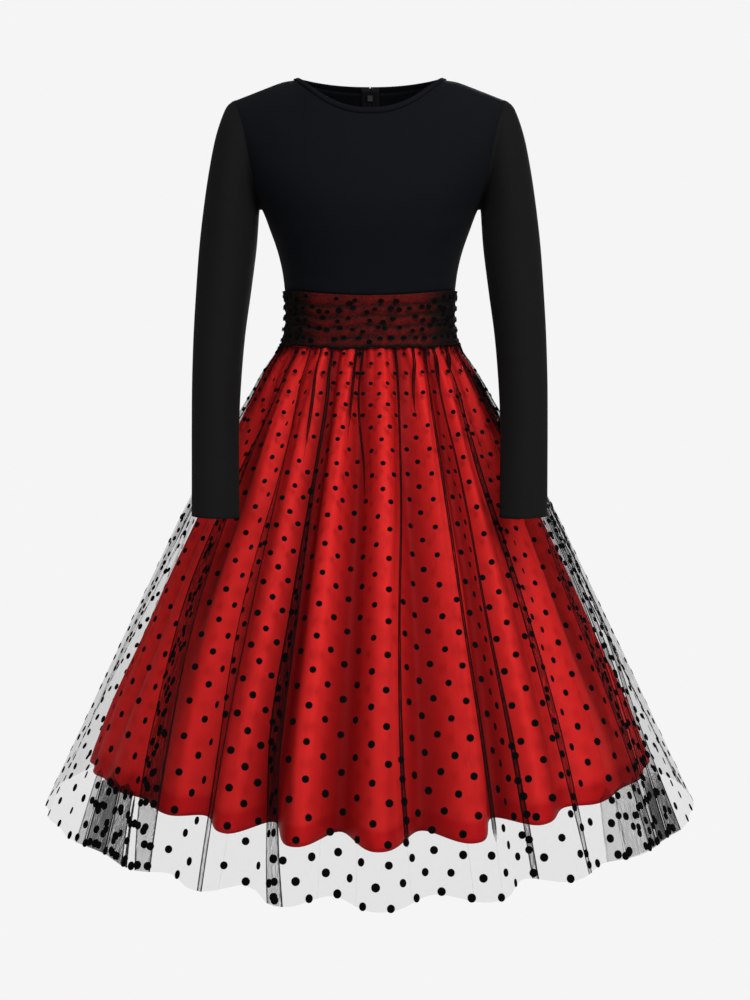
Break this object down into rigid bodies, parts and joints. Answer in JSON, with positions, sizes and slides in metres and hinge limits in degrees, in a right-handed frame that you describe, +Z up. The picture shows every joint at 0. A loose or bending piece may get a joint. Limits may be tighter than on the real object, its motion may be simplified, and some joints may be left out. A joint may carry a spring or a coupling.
{
  "type": "a-line dress",
  "caption": "Hollow worn A-line party dress: long-sleeved knit bodice, ruched waistband, red satin skirt under a longer dotted net overskirt, zip at the centre back.",
  "frame": {"origin": "midway between the two high shoulder points, at the inner face of the shoulders", "axes": "+Z up, -Y towards the front of the dress, +X to the right as seen from the front"},
  "size_m": [0.8589, 0.8399, 0.9952],
  "materials": {
    "knit": "matt black stretch knit with a soft sheen",
    "binding": "matt black knit binding",
    "satin": "red satin with a soft gloss",
    "dotted_net": "sheer black net with small flocked dots",
    "ruched_net": "sheer black dotted net in close folds over red satin",
    "zip_tape": "matt black woven tape",
    "zip_coil": "black nylon coil",
    "zip_metal": "black lacquered metal"
  },
  "bodies": {
    "dress": {"bodice_front": "knit", "bodice_back_left": "knit", "bodice_back_right": "knit", "sleeve_left": "knit", "sleeve_right": "knit", "neck_binding": "binding", "waistband_satin_front": "satin", "waistband_net_front": "ruched_net", "underskirt_front": "satin", "overskirt_front": "dotted_net", "waistband_satin_back_left": "satin", "waistband_net_back_left": "ruched_net", "underskirt_back_left": "satin", "overskirt_back_left": "dotted_net", "waistband_satin_back_right": "satin", "waistband_net_back_right": "ruched_net", "underskirt_back_right": "satin", "overskirt_back_right": "dotted_net", "zip_tape_left": "zip_tape", "zip_tape_right": "zip_tape", "zip_chain": "zip_coil", "zip_slider": "zip_metal"},
    "pull_tab": {"zip_pull_tab": "zip_metal"}
  },
  "joints": [
    {"name": "pull_tab_hinge", "type": "hinge", "parent": "dress", "child": "pull_tab", "pos_m": [0, 0.07046, -0.01181], "axis": [1, 0, 0], "range_deg": [0, 150]}
  ]
}
